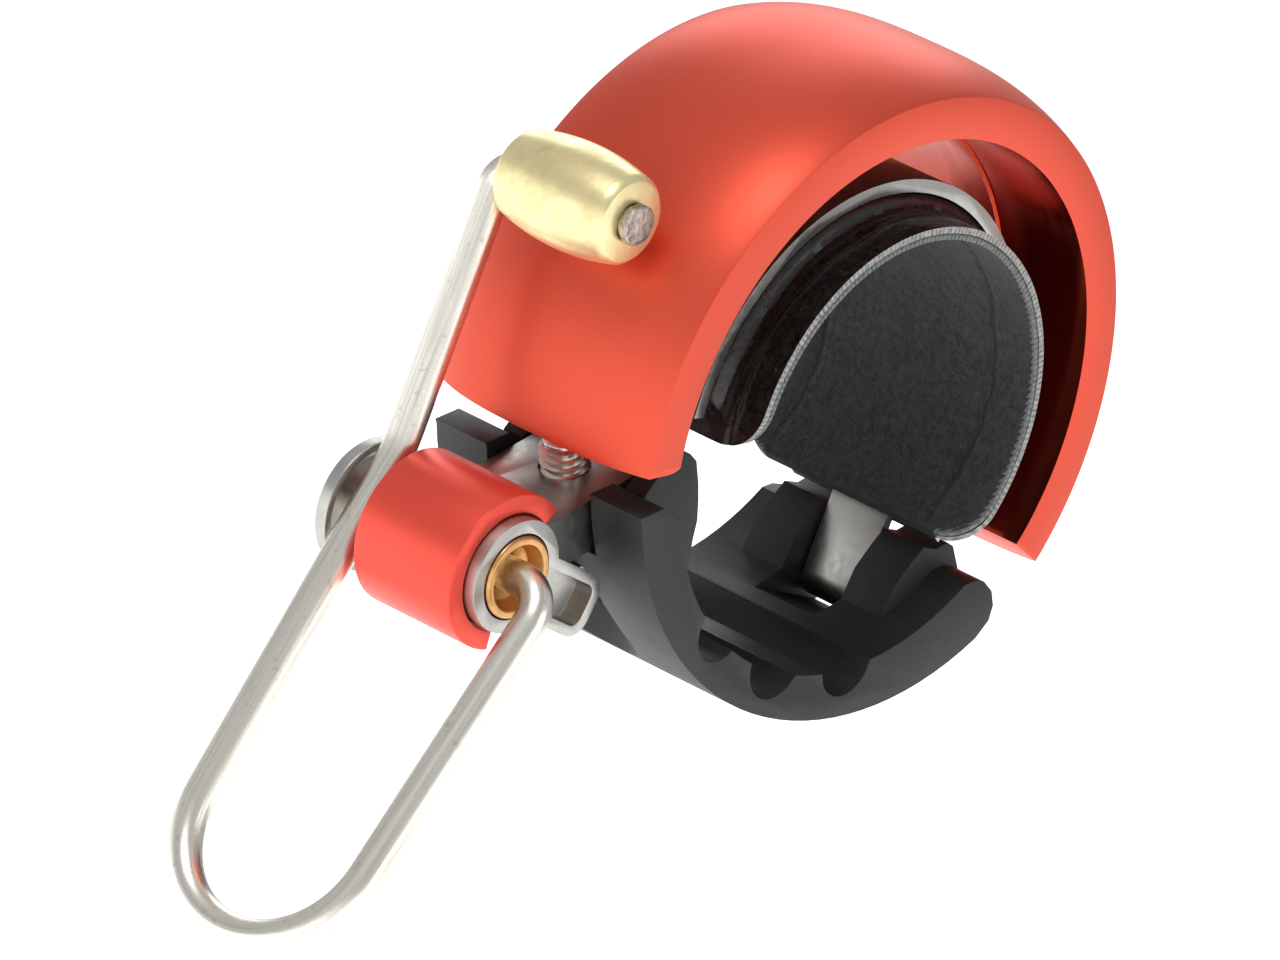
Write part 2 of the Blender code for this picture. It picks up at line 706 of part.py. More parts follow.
def main():
    clear_scene()
    red = make_material("red_anodised", (0.72, 0.09, 0.05), 0.38, 0.55)
    steel = make_material("steel", (0.62, 0.61, 0.58), 0.38, 1.0)
    wire = make_material("stainless_wire", (0.74, 0.71, 0.65), 0.34, 1.0)
    brass = make_material("brass", (0.80, 0.66, 0.38), 0.42, 1.0)
    bronze = make_material("bronze", (0.62, 0.34, 0.14), 0.4, 1.0)
    black = make_material("black_nylon", (0.03, 0.03, 0.03), 0.6, 0.0)
    rubber = make_material("rubber", (0.012, 0.012, 0.012), 0.5, 0.0)
    felt = make_material("felt", (0.06, 0.065, 0.07), 0.95, 0.0)

    add_felt_lining(felt)
    add_band_backing(rubber)
    add_saddle_band(steel)
    add_lever_frame(steel)
    add_rivet("near_rivet", -RIVET_Y, steel)
    add_rivet("far_rivet", RIVET_Y, steel)
    add_pivot_sleeve(red)
    add_near_bush(bronze)
    add_far_bush(bronze)
    add_return_spring(steel)
    add_bell_shell(red)
    add_bell_post(steel)
    add_isolator_washer(rubber)
    add_post_screw(steel)

    bracket = [add_lower_bracket(black), add_hinge_pin(steel)]
    washer = add_clamp_washer(steel)
    screw = add_clamp_screw(steel)
    lever = [add_wire_lever(wire), add_end_cup(steel)]
    hammer = add_hammer(brass)

    lean = (0, -math.radians(RAMP_SLOPE), 0)
    hang(bracket, "bracket_pivot", (HINGE[0], 0, HINGE[1]))
    screw_slide = hang([washer], "screw_slide", (RAMP[0], 0, RAMP[1]), lean)
    screw_turn = hang([screw], "screw_turn", (RAMP[0], 0, RAMP[1]), lean)
    lever_pivot = hang(lever, "lever_pivot", pivot_point())
    hammer_pivot = hang([hammer], "hammer_pivot", HAMMER_CENTRE)
    for child, parent in ((screw_turn, screw_slide), (hammer_pivot, lever_pivot)):
        child.parent = parent
        child.matrix_parent_inverse = parent.matrix_world.inverted()


main()
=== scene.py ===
"""Ring bell for a 31.8 mm handlebar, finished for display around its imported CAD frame.

The bar runs along Y through the origin and +Z is up. Lengths in the code are millimetres until
mm() turns them into Blender's metres.
"""

import json
import math

import bmesh
import bpy
from bpy.props import FloatProperty, FloatVectorProperty, PointerProperty
from mathutils import Matrix, Vector


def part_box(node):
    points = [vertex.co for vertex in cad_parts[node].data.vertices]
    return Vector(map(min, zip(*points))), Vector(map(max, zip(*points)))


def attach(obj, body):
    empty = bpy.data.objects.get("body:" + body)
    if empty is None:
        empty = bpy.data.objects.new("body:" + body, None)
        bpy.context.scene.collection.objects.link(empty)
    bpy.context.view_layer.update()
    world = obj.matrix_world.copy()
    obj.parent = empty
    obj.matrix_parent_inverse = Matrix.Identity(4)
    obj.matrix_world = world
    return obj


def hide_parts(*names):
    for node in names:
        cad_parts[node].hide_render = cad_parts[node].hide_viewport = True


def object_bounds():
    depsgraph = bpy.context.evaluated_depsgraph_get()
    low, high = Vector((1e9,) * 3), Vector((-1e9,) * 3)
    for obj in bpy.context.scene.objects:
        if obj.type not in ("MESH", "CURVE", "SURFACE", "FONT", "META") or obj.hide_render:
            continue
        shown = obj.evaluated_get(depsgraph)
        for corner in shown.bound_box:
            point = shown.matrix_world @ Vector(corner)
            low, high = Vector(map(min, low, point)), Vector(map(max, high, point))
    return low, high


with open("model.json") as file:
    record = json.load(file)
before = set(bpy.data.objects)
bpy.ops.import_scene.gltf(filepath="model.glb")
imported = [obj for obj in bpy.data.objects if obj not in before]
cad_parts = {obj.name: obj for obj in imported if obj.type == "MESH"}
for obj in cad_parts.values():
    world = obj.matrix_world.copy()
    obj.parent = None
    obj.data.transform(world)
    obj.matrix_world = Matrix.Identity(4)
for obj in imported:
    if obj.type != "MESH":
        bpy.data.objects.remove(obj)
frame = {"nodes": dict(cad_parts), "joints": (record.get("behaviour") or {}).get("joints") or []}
cad_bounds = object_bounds()

bl_info = {
    "name": "Ring Bell",
    "version": (1, 0, 0),
    "blender": (4, 5, 0),
    "location": "View3D > Sidebar > Ring Bell",
    "description": "Builds a handlebar ring bell with a wire striker around its CAD frame",
    "category": "Add Mesh",
}

BAR_ALONG_Y = Matrix.Rotation(math.radians(-90), 4, "X")  # local Z becomes +Y


# Lengths and places -----------------------------------------------------------------------------


def mm(*values):
    """Millimetres as metres: one number, or a Vector of three."""
    scaled = [value * 0.001 for value in values]
    return scaled[0] if len(scaled) == 1 else Vector(scaled)


def node_box(name):
    """The lowest and highest corner of a CAD node, in millimetres."""
    low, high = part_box(name)
    return low * 1000, high * 1000


def joint_named(name):
    """A joint, as the record gives it."""
    return next(joint for joint in frame["joints"] if joint["name"] == name)


# Mesh helpers -----------------------------------------------------------------------------------

WELD = 2e-6  # metres, within which a CAD node's triangles share a corner
FLAT_WITHIN = 1.0  # degrees, under which neighbouring CAD triangles are one face


def as_piece(name, shape, materials, smooth_angle=35):
    """Turns a bmesh into a named object with its place in its mesh."""
    mesh = bpy.data.meshes.new(name)
    shape.to_mesh(mesh)
    shape.free()
    for material in materials:
        mesh.materials.append(material)
    mesh.shade_smooth()
    mesh.set_sharp_from_angle(angle=math.radians(smooth_angle))
    piece = bpy.data.objects.new(name, mesh)
    bpy.context.scene.collection.objects.link(piece)
    return piece


def settle(piece, body, slot, *nodes):
    """Ties a finished piece to its body and hides the CAD nodes it stands for; slot is not used."""
    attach(piece, body)
    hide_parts(*nodes)
    return piece


def sharp_edges(shape, degrees):
    """The edges where a shape turns by more than an angle."""
    limit = math.radians(degrees)
    return [e for e in shape.edges if len(e.link_faces) == 2 and e.calc_face_angle() > limit]


def only(kind, items):
    """The items of one kind, out of what an operator made."""
    return [item for item in items if isinstance(item, kind)]


def soften(shape, edges, width, segments=3, clamp=True):
    """Rounds edges over by a width in millimetres."""
    bmesh.ops.bevel(
        shape, geom=edges, offset=mm(width), offset_type="OFFSET", segments=segments,
        profile=0.5, affect="EDGES", material=-1, clamp_overlap=clamp,
    )


def turn(profile, steps=96, closed=True):
    """A profile of (radius, height) points turned once about local Z."""
    shape = bmesh.new()
    points = [shape.verts.new(mm(radius, 0, height)) for radius, height in profile]
    edges = [shape.edges.new(pair) for pair in zip(points, points[1:])]
    if closed:
        edges.append(shape.edges.new((points[-1], points[0])))
    bmesh.ops.spin(
        shape, geom=points + edges, cent=(0, 0, 0), axis=(0, 0, 1), angle=math.tau,
        steps=steps, use_merge=True,
    )
    bmesh.ops.remove_doubles(shape, verts=shape.verts, dist=1e-7)
    bmesh.ops.recalc_face_normals(shape, faces=shape.faces)
    return shape


def rounded_profile(points, radius, steps=4):
    """The profile with every corner rounded off, as a lathe and a file would leave it."""
    rounded = []
    for i, corner in enumerate(points):
        corner = Vector(corner)
        before, after = Vector(points[i - 1]), Vector(points[(i + 1) % len(points)])
        into, out = (before - corner), (after - corner)
        reach = min(radius, into.length * 0.45, out.length * 0.45)
        start, end = corner + into.normalized() * reach, corner + out.normalized() * reach
        for step in range(steps + 1):
            t = step / steps
            point = start * (1 - t) ** 2 + corner * 2 * t * (1 - t) + end * t * t
            rounded.append(tuple(point))
    return rounded


def add_shape(target, source):
    """Adds one bmesh to another."""
    carried = bpy.data.meshes.new("carried")
    source.to_mesh(carried)
    source.free()
    target.from_mesh(carried)
    bpy.data.meshes.remove(carried)


def copy_of(node, edge, sharp=35):
    """A CAD node's shape with its triangles merged and its edges softened."""
    shape = bmesh.new()
    shape.from_mesh(frame["nodes"][node].data)
    bmesh.ops.remove_doubles(shape, verts=shape.verts, dist=WELD)
    bmesh.ops.dissolve_limit(
        shape, angle_limit=math.radians(FLAT_WITHIN), verts=shape.verts, edges=shape.edges,
    )
    for face in shape.faces:
        face.material_index = 0
    if edge:
        soften(shape, sharp_edges(shape, sharp), edge)
    return shape


def finished_copy(name, node, materials, edge, body, slot, **settings):
    """A piece made from a CAD node, with its edges softened and its finish on."""
    piece = as_piece(name, copy_of(node, edge, **settings), materials)
    return settle(piece, body, slot, node)


# Material helpers -------------------------------------------------------------------------------


class Finish:
    """A material being built: its shader, and the nodes that feed it."""

    def __init__(self, name, colour, roughness, metallic=0.0, **uniform):
        self.material = bpy.data.materials.new(name)
        self.material.use_nodes = True
        self.tree = self.material.node_tree
        self.shader = self.tree.nodes["Principled BSDF"]
        self.colour = (*colour, 1)
        self.shader.inputs["Base Color"].default_value = self.colour
        self.shader.inputs["Roughness"].default_value = roughness
        self.shader.inputs["Metallic"].default_value = metallic
        for socket, value in uniform.items():
            self.shader.inputs[socket.replace("_", " ")].default_value = value
        self.heights = []

    def add(self, kind, sockets, **settings):
        node = self.tree.nodes.new(kind)
        for setting, value in settings.items():
            setattr(node, setting, value)
        for socket, value in sockets.items():
            if isinstance(value, bpy.types.NodeSocket):
                self.tree.links.new(value, node.inputs[socket])
            else:
                node.inputs[socket].default_value = value
        return node.outputs

    def place(self, scale=(1, 1, 1), turn=(0, 0, 0)):
        """Object coordinates, stretched or turned."""
        where = self.add("ShaderNodeTexCoord", {})["Object"]
        return self.add(
            "ShaderNodeMapping",
            {"Vector": where, "Scale": scale, "Rotation": [math.radians(a) for a in turn]},
        )["Vector"]

    def noise(self, scale, vector=None, detail=3.0, rough=0.55):
        sockets = {"Scale": scale, "Detail": detail, "Roughness": rough}
        sockets["Vector"] = vector if vector is not None else self.place()
        return self.add("ShaderNodeTexNoise", sockets)[0]

    def range(self, value, low, high, to_low=0.0, to_high=1.0):
        sockets = {0: value, 1: low, 2: high, 3: to_low, 4: to_high}
        return self.add("ShaderNodeMapRange", sockets)[0]

    def maths(self, operation, first, second=0.0):
        return self.add("ShaderNodeMath", {0: first, 1: second}, operation=operation)[0]

    def vectors(self, operation, first, second):
        return self.add("ShaderNodeVectorMath", {0: first, 1: second}, operation=operation)[0]

    def weighted(self, first, share, second, other_share):
        """Two patterns added together, each by its share."""
        return self.maths(
            "ADD", self.maths("MULTIPLY", first, share), self.maths("MULTIPLY", second, other_share)
        )

    def mix(self, factor, first, second):
        sockets = {0: factor, 6: first, 7: second}
        return self.add("ShaderNodeMix", sockets, data_type="RGBA")[2]

    def shade(self, factor, darker, lighter):
        """The colour, made darker or lighter by a pattern."""
        dark = [c * darker for c in self.colour[:3]] + [1]
        light = [min(1, c * lighter) for c in self.colour[:3]] + [1]
        return self.mix(factor, dark, light)

    def paint(self, colour):
        self.tree.links.new(colour, self.shader.inputs["Base Color"])

    def rough(self, value):
        self.tree.links.new(value, self.shader.inputs["Roughness"])

    def bump(self, height, distance, strength=1.0):
        """Adds a relief, its full height a distance in millimetres."""
        sockets = {"Height": height, "Distance": mm(distance), "Strength": strength}
        if self.heights:
            sockets["Normal"] = self.heights[-1]
        self.heights.append(self.add("ShaderNodeBump", sockets)["Normal"])
        self.tree.links.new(self.heights[-1], self.shader.inputs["Normal"])

    def attribute(self, name, output="Vector"):
        return self.add("ShaderNodeAttribute", {}, attribute_name=name)[output]


def anodised(name, colour, roughness, metallic, grain=0.0015, unevenness=0.05):
    """Bead-blasted and dyed aluminium: a fine grain, with a slow unevenness of the dye."""
    finish = Finish(name, colour, roughness, metallic)
    slow = finish.noise(60, detail=2)
    fine = finish.noise(5200, detail=2)
    dye = finish.weighted(slow, 0.6, fine, 0.4)
    finish.paint(finish.shade(finish.range(dye, 0.3, 0.7), 1 - unevenness, 1 + unevenness))
    finish.rough(finish.range(slow, 0.3, 0.7, roughness - 0.03, roughness + 0.03))
    finish.bump(fine, grain * 2)
    return finish.material


def rolled_steel(name, colour, roughness, grain=0.004, stretch=(1, 1, 1), specks=0.25):
    """Satin steel with tumbling marks, darker specks and a faint drawn grain."""
    finish = Finish(name, colour, roughness, 1.0)
    slow = finish.noise(260, detail=4)
    lines = finish.noise(1500, finish.place(stretch), detail=4, rough=0.7)
    pits = finish.range(finish.noise(2600, detail=2), 0.66, 0.74)
    body = finish.shade(finish.range(slow, 0.3, 0.7), 0.84, 1.08)
    dark = [c * 0.45 for c in colour] + [1]
    finish.paint(finish.mix(finish.maths("MULTIPLY", pits, specks), body, dark))
    finish.rough(finish.range(lines, 0.3, 0.7, roughness - 0.07, roughness + 0.08))
    finish.bump(lines, grain)
    return finish.material


def moulded_nylon(name, colour, roughness):
    """Glass-filled nylon: a matt spark-eroded texture with paler rubbed patches."""
    finish = Finish(name, colour, roughness, Specular_IOR_Level=0.38)
    fine = finish.noise(2400, detail=4, rough=0.6)
    patch = finish.noise(130, detail=3)
    both = finish.weighted(fine, 0.5, patch, 0.5)
    finish.paint(finish.shade(finish.range(both, 0.35, 0.65), 0.8, 1.3))
    finish.rough(finish.range(patch, 0.3, 0.7, roughness - 0.06, roughness + 0.06))
    finish.bump(fine, 0.018)
    finish.bump(patch, 0.03)
    return finish.material


# Sizes and colours ------------------------------------------------------------------------------


class RingBellSizes(bpy.types.PropertyGroup):
    rim_radius: FloatProperty(
        name="Rim Radius", description="Outer radius of the bell at either rim",
        default=mm(27.2), unit="LENGTH", subtype="DISTANCE",
    )
    crown: FloatProperty(
        name="Crown", description="How far the bell's middle stands out past its rims",
        default=mm(1.7), unit="LENGTH", subtype="DISTANCE",
    )
    bore_radius: FloatProperty(
        name="Bore Radius", description="Inner radius of the bell in front of the step",
        default=mm(23.7), unit="LENGTH", subtype="DISTANCE",
    )
    wire_radius: FloatProperty(
        name="Wire Radius", description="Radius of the striker's wire",
        default=mm(1.4), unit="LENGTH", subtype="DISTANCE",
    )
    thread_pitch: FloatProperty(
        name="Thread Pitch", description="Distance between the clamp screw's threads",
        default=mm(0.7), unit="LENGTH", subtype="DISTANCE",
    )
    edge_width: FloatProperty(
        name="Edge Width", description="Width of the small rounding on machined edges",
        default=mm(0.18), unit="LENGTH", subtype="DISTANCE",
    )


class RingBellColours(bpy.types.PropertyGroup):
    bell: FloatVectorProperty(
        name="Bell", description="Dye of the anodised bell and sleeve",
        default=(0.73, 0.088, 0.046), subtype="COLOR", min=0, max=1,
    )
    steel: FloatVectorProperty(
        name="Steel", description="Band, lever frame, rivets and screw",
        default=(0.50, 0.49, 0.465), subtype="COLOR", min=0, max=1,
    )
    wire: FloatVectorProperty(
        name="Wire", description="Stainless wire of the striker",
        default=(0.88, 0.85, 0.77), subtype="COLOR", min=0, max=1,
    )
    brass: FloatVectorProperty(
        name="Brass", description="Striking hammer",
        default=(1.0, 0.82, 0.45), subtype="COLOR", min=0, max=1,
    )
    bronze: FloatVectorProperty(
        name="Bronze", description="Bushes of the lever's pivot",
        default=(0.72, 0.40, 0.16), subtype="COLOR", min=0, max=1,
    )
    nylon: FloatVectorProperty(
        name="Nylon", description="Lower bracket",
        default=(0.017, 0.017, 0.0173), subtype="COLOR", min=0, max=1,
    )
    felt: FloatVectorProperty(
        name="Felt", description="Lining against the bar",
        default=(0.0135, 0.015, 0.016), subtype="COLOR", min=0, max=1,
    )


def sizes():
    return bpy.context.scene.ring_bell_sizes


def colours():
    return bpy.context.scene.ring_bell_colours


def found_or(name, make):
    """A material that is already there, or a new one."""
    return bpy.data.materials.get(name) or make()


def steel_finish():
    return found_or("satin_steel", lambda: rolled_steel("satin_steel", colours().steel, 0.36))


# Bell -------------------------------------------------------------------------------------------

BELL_ENDS = (-17.4, 197.4)  # degrees from +X about the bar
BELL_STEP_Y = -2.2
BELL_STEP = 0.35
CROWN_POINTS = 28
NEAR_CORNER_ROUNDING = 1.5
OUTSIDE, BORE, STEP = range(3)  # the bell's materials


def bell_section():
    """The wall's section as (radius, place along the bar), crowned outside, stepped inside."""
    half = node_box("bell_shell")[1].y
    rim, crown = sizes().rim_radius * 1000, sizes().crown * 1000
    bore = sizes().bore_radius * 1000
    section = []
    for i in range(CROWN_POINTS + 1):
        along = 2 * i / CROWN_POINTS - 1
        section.append((rim + crown * (1 - abs(along) ** 3), along * half))
    small = bore - BELL_STEP
    return section + [(small, half), (small, BELL_STEP_Y), (bore, BELL_STEP_Y), (bore, -half)]


def bore_finish():
    """The machined bore: the bell's dye darkened to 0.6 as painted shade inside the bell, on a
    bright-turned face with the tool's rings.
    """
    # painted shade: the bore's colour is the bell's dye times 0.6
    finish = Finish("bore_red", [c * 0.6 for c in colours().bell], 0.16, 1.0)
    rings = finish.noise(900, finish.place((0.02, 1, 0.02)), detail=2)
    slow = finish.noise(80, detail=2)
    finish.paint(finish.shade(finish.range(slow, 0.3, 0.7), 0.8, 1.15))
    finish.rough(finish.range(rings, 0.3, 0.7, 0.12, 0.22))
    finish.bump(rings, 0.004)
    return finish.material


def step_highlight_finish():
    """A chamfer cut through the blasted skin: smoother than the faces beside it, with a painted
    highlight that makes its red brighter.
    """
    # painted highlight: the step face's base red is brighter than the bell's own dye
    finish = Finish("step_painted_highlight", (0.95, 0.16, 0.08), 0.24, 0.9)
    slow = finish.noise(300, detail=2)
    finish.paint(finish.shade(finish.range(slow, 0.3, 0.7), 0.92, 1.04))
    return finish.material


def near_bore_corners(shape):
    """The edges where the near end's face on the lever's side meets the bore."""
    bore = sizes().bore_radius
    leftmost = node_box("bell_shell")[0].x * 0.001
    corners = []
    for edge in shape.edges:
        a, b = edge.verts
        along_bar = abs(a.co.y - b.co.y) > mm(1) and (a.co.y + b.co.y) / 2 < mm(BELL_STEP_Y)
        in_bore = math.hypot(a.co.x, a.co.z) < bore + mm(0.1) and a.co.x < leftmost * 0.5
        if along_bar and in_bore and edge.calc_face_angle() > math.radians(60):
            corners.append(edge)
    return corners


def bell_material(face):
    """Which of the bell's materials a face takes."""
    bore = sizes().bore_radius
    centre = face.calc_center_median()
    radius = math.hypot(centre.x, centre.z)
    inward = face.normal.dot(Vector((centre.x, 0, centre.z)).normalized()) < -0.5
    if inward and radius < bore + mm(0.2):
        return BORE
    across = abs(face.normal.y) > 0.9 and radius < bore
    return STEP if across and mm(-5) < centre.y < mm(BELL_STEP_Y + 0.2) else OUTSIDE


def build_bell():
    """The section spun round the bar, with its edges rounded and its materials set."""
    start, end = (math.radians(angle) for angle in BELL_ENDS)
    shape = bmesh.new()
    points = [shape.verts.new(mm(radius, along, 0)) for radius, along in bell_section()]
    face = shape.faces.new(points)
    bmesh.ops.rotate(
        shape, verts=shape.verts, cent=(0, 0, 0), matrix=Matrix.Rotation(-start, 3, "Y")
    )
    bmesh.ops.spin(
        shape, geom=[face] + list(face.edges) + points, cent=(0, 0, 0), axis=(0, -1, 0),
        angle=end - start, steps=180, use_merge=False,
    )
    bmesh.ops.recalc_face_normals(shape, faces=shape.faces)
    soften(shape, near_bore_corners(shape), NEAR_CORNER_ROUNDING, 6, clamp=False)
    for face in shape.faces:
        face.material_index = bell_material(face)
    soften(shape, sharp_edges(shape, 40), 0.16)
    return shape


class RINGBELL_OT_bell(bpy.types.Operator):
    """Turn the open bell with its crowned outside and stepped bore"""

    bl_idname = "ringbell.bell"
    bl_label = "Bell"

    def execute(self, context):
        outside = anodised("bell_red", colours().bell, 0.42, 0.72)
        piece = as_piece("bell", build_bell(), [outside, bore_finish(), step_highlight_finish()])
        settle(piece, "clamp", "red_anodised", "bell_shell")
        return {"FINISHED"}


# Lining -----------------------------------------------------------------------------------------

LINING_ENDS = (-29.5, 195.8)  # degrees from +X about the bar
CORNER_RADIUS = 3.8
SHEET_STEP = 0.3  # the side of one face of a sheet
FELT_RADIUS = 15.93
FELT_THICKNESS = 0.45
BACKING_INNER, BACKING_OUTER = 16.45, 17.0
EDGE_FROM = 9.3  # how far along the bar a sheet's pale cut sides begin


def edge_distance(s, y, half_length, half_width):
    """Distance in millimetres from the rounded outline of a flat sheet."""
    q = Vector((abs(s) - half_length + CORNER_RADIUS, abs(y) - half_width + CORNER_RADIUS))
    outside = Vector((max(q.x, 0), max(q.y, 0))).length
    return CORNER_RADIUS - outside - min(max(q.x, q.y), 0)


def round_corner(s, y, half_length, half_width):
    """Moves a point of a square corner onto a rounded one."""
    u = (abs(s) - half_length + CORNER_RADIUS) / CORNER_RADIUS
    v = (abs(y) - half_width + CORNER_RADIUS) / CORNER_RADIUS
    if u <= 0 or v <= 0:
        return s, y
    u, v = u * math.sqrt(1 - v * v / 2), v * math.sqrt(1 - u * u / 2)
    s = math.copysign(half_length - CORNER_RADIUS + u * CORNER_RADIUS, s)
    return s, math.copysign(half_width - CORNER_RADIUS + v * CORNER_RADIUS, y)


def sheet_around_bar(radius, height_at):
    """A flat sheet with rounded corners, rolled round the bar at a radius.

    height_at(s, y) is how far each point stands out, in millimetres. The sheet keeps where each
    point was cut from in the attribute flat, and its distance from the edge in from_edge.
    """
    low, high = node_box("felt_lining")
    half_width = (high.y - low.y) / 2
    start, end = (math.radians(angle) for angle in LINING_ENDS)
    half_length = radius * (end - start) / 2
    shape = bmesh.new()
    bmesh.ops.create_grid(
        shape, x_segments=round(2 * half_length / SHEET_STEP),
        y_segments=round(2 * half_width / SHEET_STEP), size=1,
    )
    flat = shape.verts.layers.float_vector.new("flat")
    from_edge = shape.verts.layers.float.new("from_edge")
    for vert in shape.verts:
        square = (vert.co.x * half_length, vert.co.y * half_width)
        s, y = round_corner(*square, half_length, half_width)
        vert[flat] = (s, y, 0)
        vert[from_edge] = edge_distance(s, y, half_length, half_width)
        angle = (start + end) / 2 + s / radius
        out = radius + height_at(s, y)
        vert.co = mm(out * math.cos(angle), y, out * math.sin(angle))
    return shape


def smooth_step(low, high, value):
    """0 at low and 1 at high, with a smooth rise between them."""
    t = min(1, max(0, (value - low) / (high - low)))
    return t * t * (3 - 2 * t)


def crease(y, at, width):
    """A pressed-in line along the sheet: 1 at its middle, 0 beside it."""
    return max(0.0, 1 - abs(y - at) / width)


def felt_height(s, y):
    """The felt's two pressed lines, wandering along it and fading at its ends."""
    wander = 0.18 * math.sin(s * 0.31) + 0.12 * math.sin(s * 0.83 + 1.1)
    near, far = crease(y, -8.3 + wander, 0.35), crease(y, 9.0 - wander * 1.6, 0.35)
    ends = smooth_step(31.0, 27.5, abs(s))
    return 0.09 * max(near, far) * ends


def felt_finish():
    """Dark blue-grey pressed felt: mottled fibres, pin-pricks, a pale cut edge with teeth, and
    painted shade along its two pressed lines.
    """
    finish = Finish("felt", colours().felt, 0.95, Sheen_Weight=0.12, Sheen_Roughness=0.6)
    where = finish.place()
    mottle = finish.noise(1500, where, detail=5, rough=0.7)
    fibre = finish.noise(5200, where, detail=3, rough=0.7)
    patch = finish.noise(210, where, detail=3)
    both = finish.weighted(mottle, 0.55, fibre, 0.45)
    body = finish.shade(finish.range(both, 0.42, 0.58), 0.28, 2.3)
    worn = finish.mix(finish.range(patch, 0.45, 0.75, 0.0, 0.35), body, (0.027, 0.029, 0.031, 1))
    specks = finish.range(finish.noise(1700, where, detail=1), 0.63, 0.70, 0.0, 0.85)
    body = finish.mix(specks, worn, (0.004, 0.005, 0.006, 1))
    drawn_out = finish.noise(3800, finish.place((1, 0.35, 1), (20, 30, 0)), detail=2)
    strands = finish.range(drawn_out, 0.66, 0.74, 0, 0.35)
    body = finish.mix(strands, body, (0.09, 0.095, 0.10, 1))
    edge = finish.attribute("from_edge", "Fac")
    flat = finish.add("ShaderNodeSeparateXYZ", {0: finish.attribute("flat")})
    teeth = finish.maths("PINGPONG", finish.maths("ADD", flat["X"], flat["Y"]), 0.30)
    reach = finish.maths("ADD", finish.maths("MULTIPLY", teeth, 1.1), 0.10)
    ragged = finish.maths("ADD", reach, finish.range(fibre, 0.3, 0.7, -0.10, 0.10))
    near_side = finish.maths("GREATER_THAN", finish.maths("ABSOLUTE", flat["Y"]), EDGE_FROM)
    pale = finish.maths("MULTIPLY", finish.maths("LESS_THAN", edge, ragged), near_side)
    wander = finish.range(finish.noise(190, where, detail=3), 0.3, 0.7, -0.5, 0.5)
    inside = finish.range(finish.maths("ABSOLUTE", flat["X"]), 27.0, 29.5, 1.0, 0.0)
    # painted shade: near-black along each pressed line, fading out towards the sheet's ends
    for line in (8.4, -8.7):
        from_line = finish.maths("ADD", finish.maths("ADD", flat["Y"], line), wander)
        off = finish.maths("ABSOLUTE", from_line)
        pressed = finish.maths("MULTIPLY", finish.range(off, 0.08, 0.34, 1.0, 0.0), inside)
        body = finish.mix(pressed, body, (0.001, 0.001, 0.001, 1))
        finish.bump(finish.range(off, 0.0, 0.5), 0.12)
    finish.paint(finish.mix(finish.maths("MULTIPLY", pale, 0.85), body, (0.17, 0.175, 0.175, 1)))
    finish.bump(both, 0.30)
    finish.bump(patch, 0.25)
    return finish.material


def cut_edge_finish(name, colour):
    """The core along a sheet's cut sides: short fibres, with dark teeth between them."""
    finish = Finish(name, colour, 0.85)
    fine = finish.noise(3600, detail=4, rough=0.7)
    flat = finish.add("ShaderNodeSeparateXYZ", {0: finish.attribute("flat")})
    weave = finish.maths("PINGPONG", finish.maths("ADD", flat["X"], flat["Y"]), 0.24)
    both = finish.weighted(fine, 0.85, weave, 0.9)
    body = finish.shade(finish.range(both, 0.38, 0.66), 0.45, 1.4)
    side = finish.maths("GREATER_THAN", finish.maths("ABSOLUTE", flat["Y"]), EDGE_FROM)
    finish.paint(finish.mix(side, (0.015, 0.016, 0.018, 1), body))
    finish.bump(both, 0.12)
    return finish.material


def thicken(piece, thickness):
    """Gives a sheet its thickness, outwards from the bar, with its second material on the rim."""
    solid = piece.modifiers.new("thickness", "SOLIDIFY")
    solid.thickness = mm(thickness)
    solid.offset = 1
    solid.use_even_offset = False
    solid.material_offset_rim = 1


def point_outwards(shape):
    """Faces of an open sheet turned away from the bar."""
    shape.faces.ensure_lookup_table()
    face = shape.faces[len(shape.faces) // 2]
    centre = face.calc_center_median()
    if face.normal.dot(Vector((centre.x, 0, centre.z))) < 0:
        bmesh.ops.reverse_faces(shape, faces=shape.faces)


class RINGBELL_OT_lining(bpy.types.Operator):
    """Roll the felt lining that grips the bar"""

    bl_idname = "ringbell.lining"
    bl_label = "Felt Lining"

    def execute(self, context):
        shape = sheet_around_bar(FELT_RADIUS, felt_height)
        shape.normal_update()
        point_outwards(shape)
        side = cut_edge_finish("felt_side", (0.16, 0.165, 0.165))
        piece = as_piece("felt_sheet", shape, [felt_finish(), side], 70)
        thicken(piece, FELT_THICKNESS)
        settle(piece, "clamp", "felt", "felt_lining")
        return {"FINISHED"}


def backing_height(s, y):
    """The backing's raised middle, the fold beside it and the lumps of its flat sides."""
    rise = 1 - smooth_step(7.7, 8.5, abs(y))
    rise *= smooth_step(31.5, 30.0, abs(s))
    fold = 0.22 * crease(y, -9.6 + 0.25 * math.sin(s * 0.35), 0.5)
    on_sides = smooth_step(8.4, 9.5, abs(y)) * smooth_step(12.6, 11.5, abs(y))
    lumps = 0.05 * math.sin(s * 0.9) * on_sides
    return rise - fold + lumps


def backing_finish():
    """Black rubber: glossy, puckered, and specked with pale dust."""
    black = (0.006, 0.0055, 0.005)
    finish = Finish("glossy_black", black, 0.3, Coat_Weight=0.25, Coat_Roughness=0.2)
    grain = finish.noise(1600, detail=4, rough=0.65)
    pucker = finish.noise(330, finish.place((1, 1.8, 1)), detail=3)
    body = finish.shade(finish.range(grain, 0.35, 0.7), 0.6, 1.8)
    dust = finish.range(finish.noise(2600, detail=1), 0.70, 0.76)
    finish.paint(finish.mix(finish.maths("MULTIPLY", dust, 0.5), body, (0.10, 0.09, 0.08, 1)))
    finish.rough(finish.range(grain, 0.3, 0.7, 0.22, 0.42))
    finish.bump(grain, 0.05)
    finish.bump(pucker, 0.2)
    return finish.material


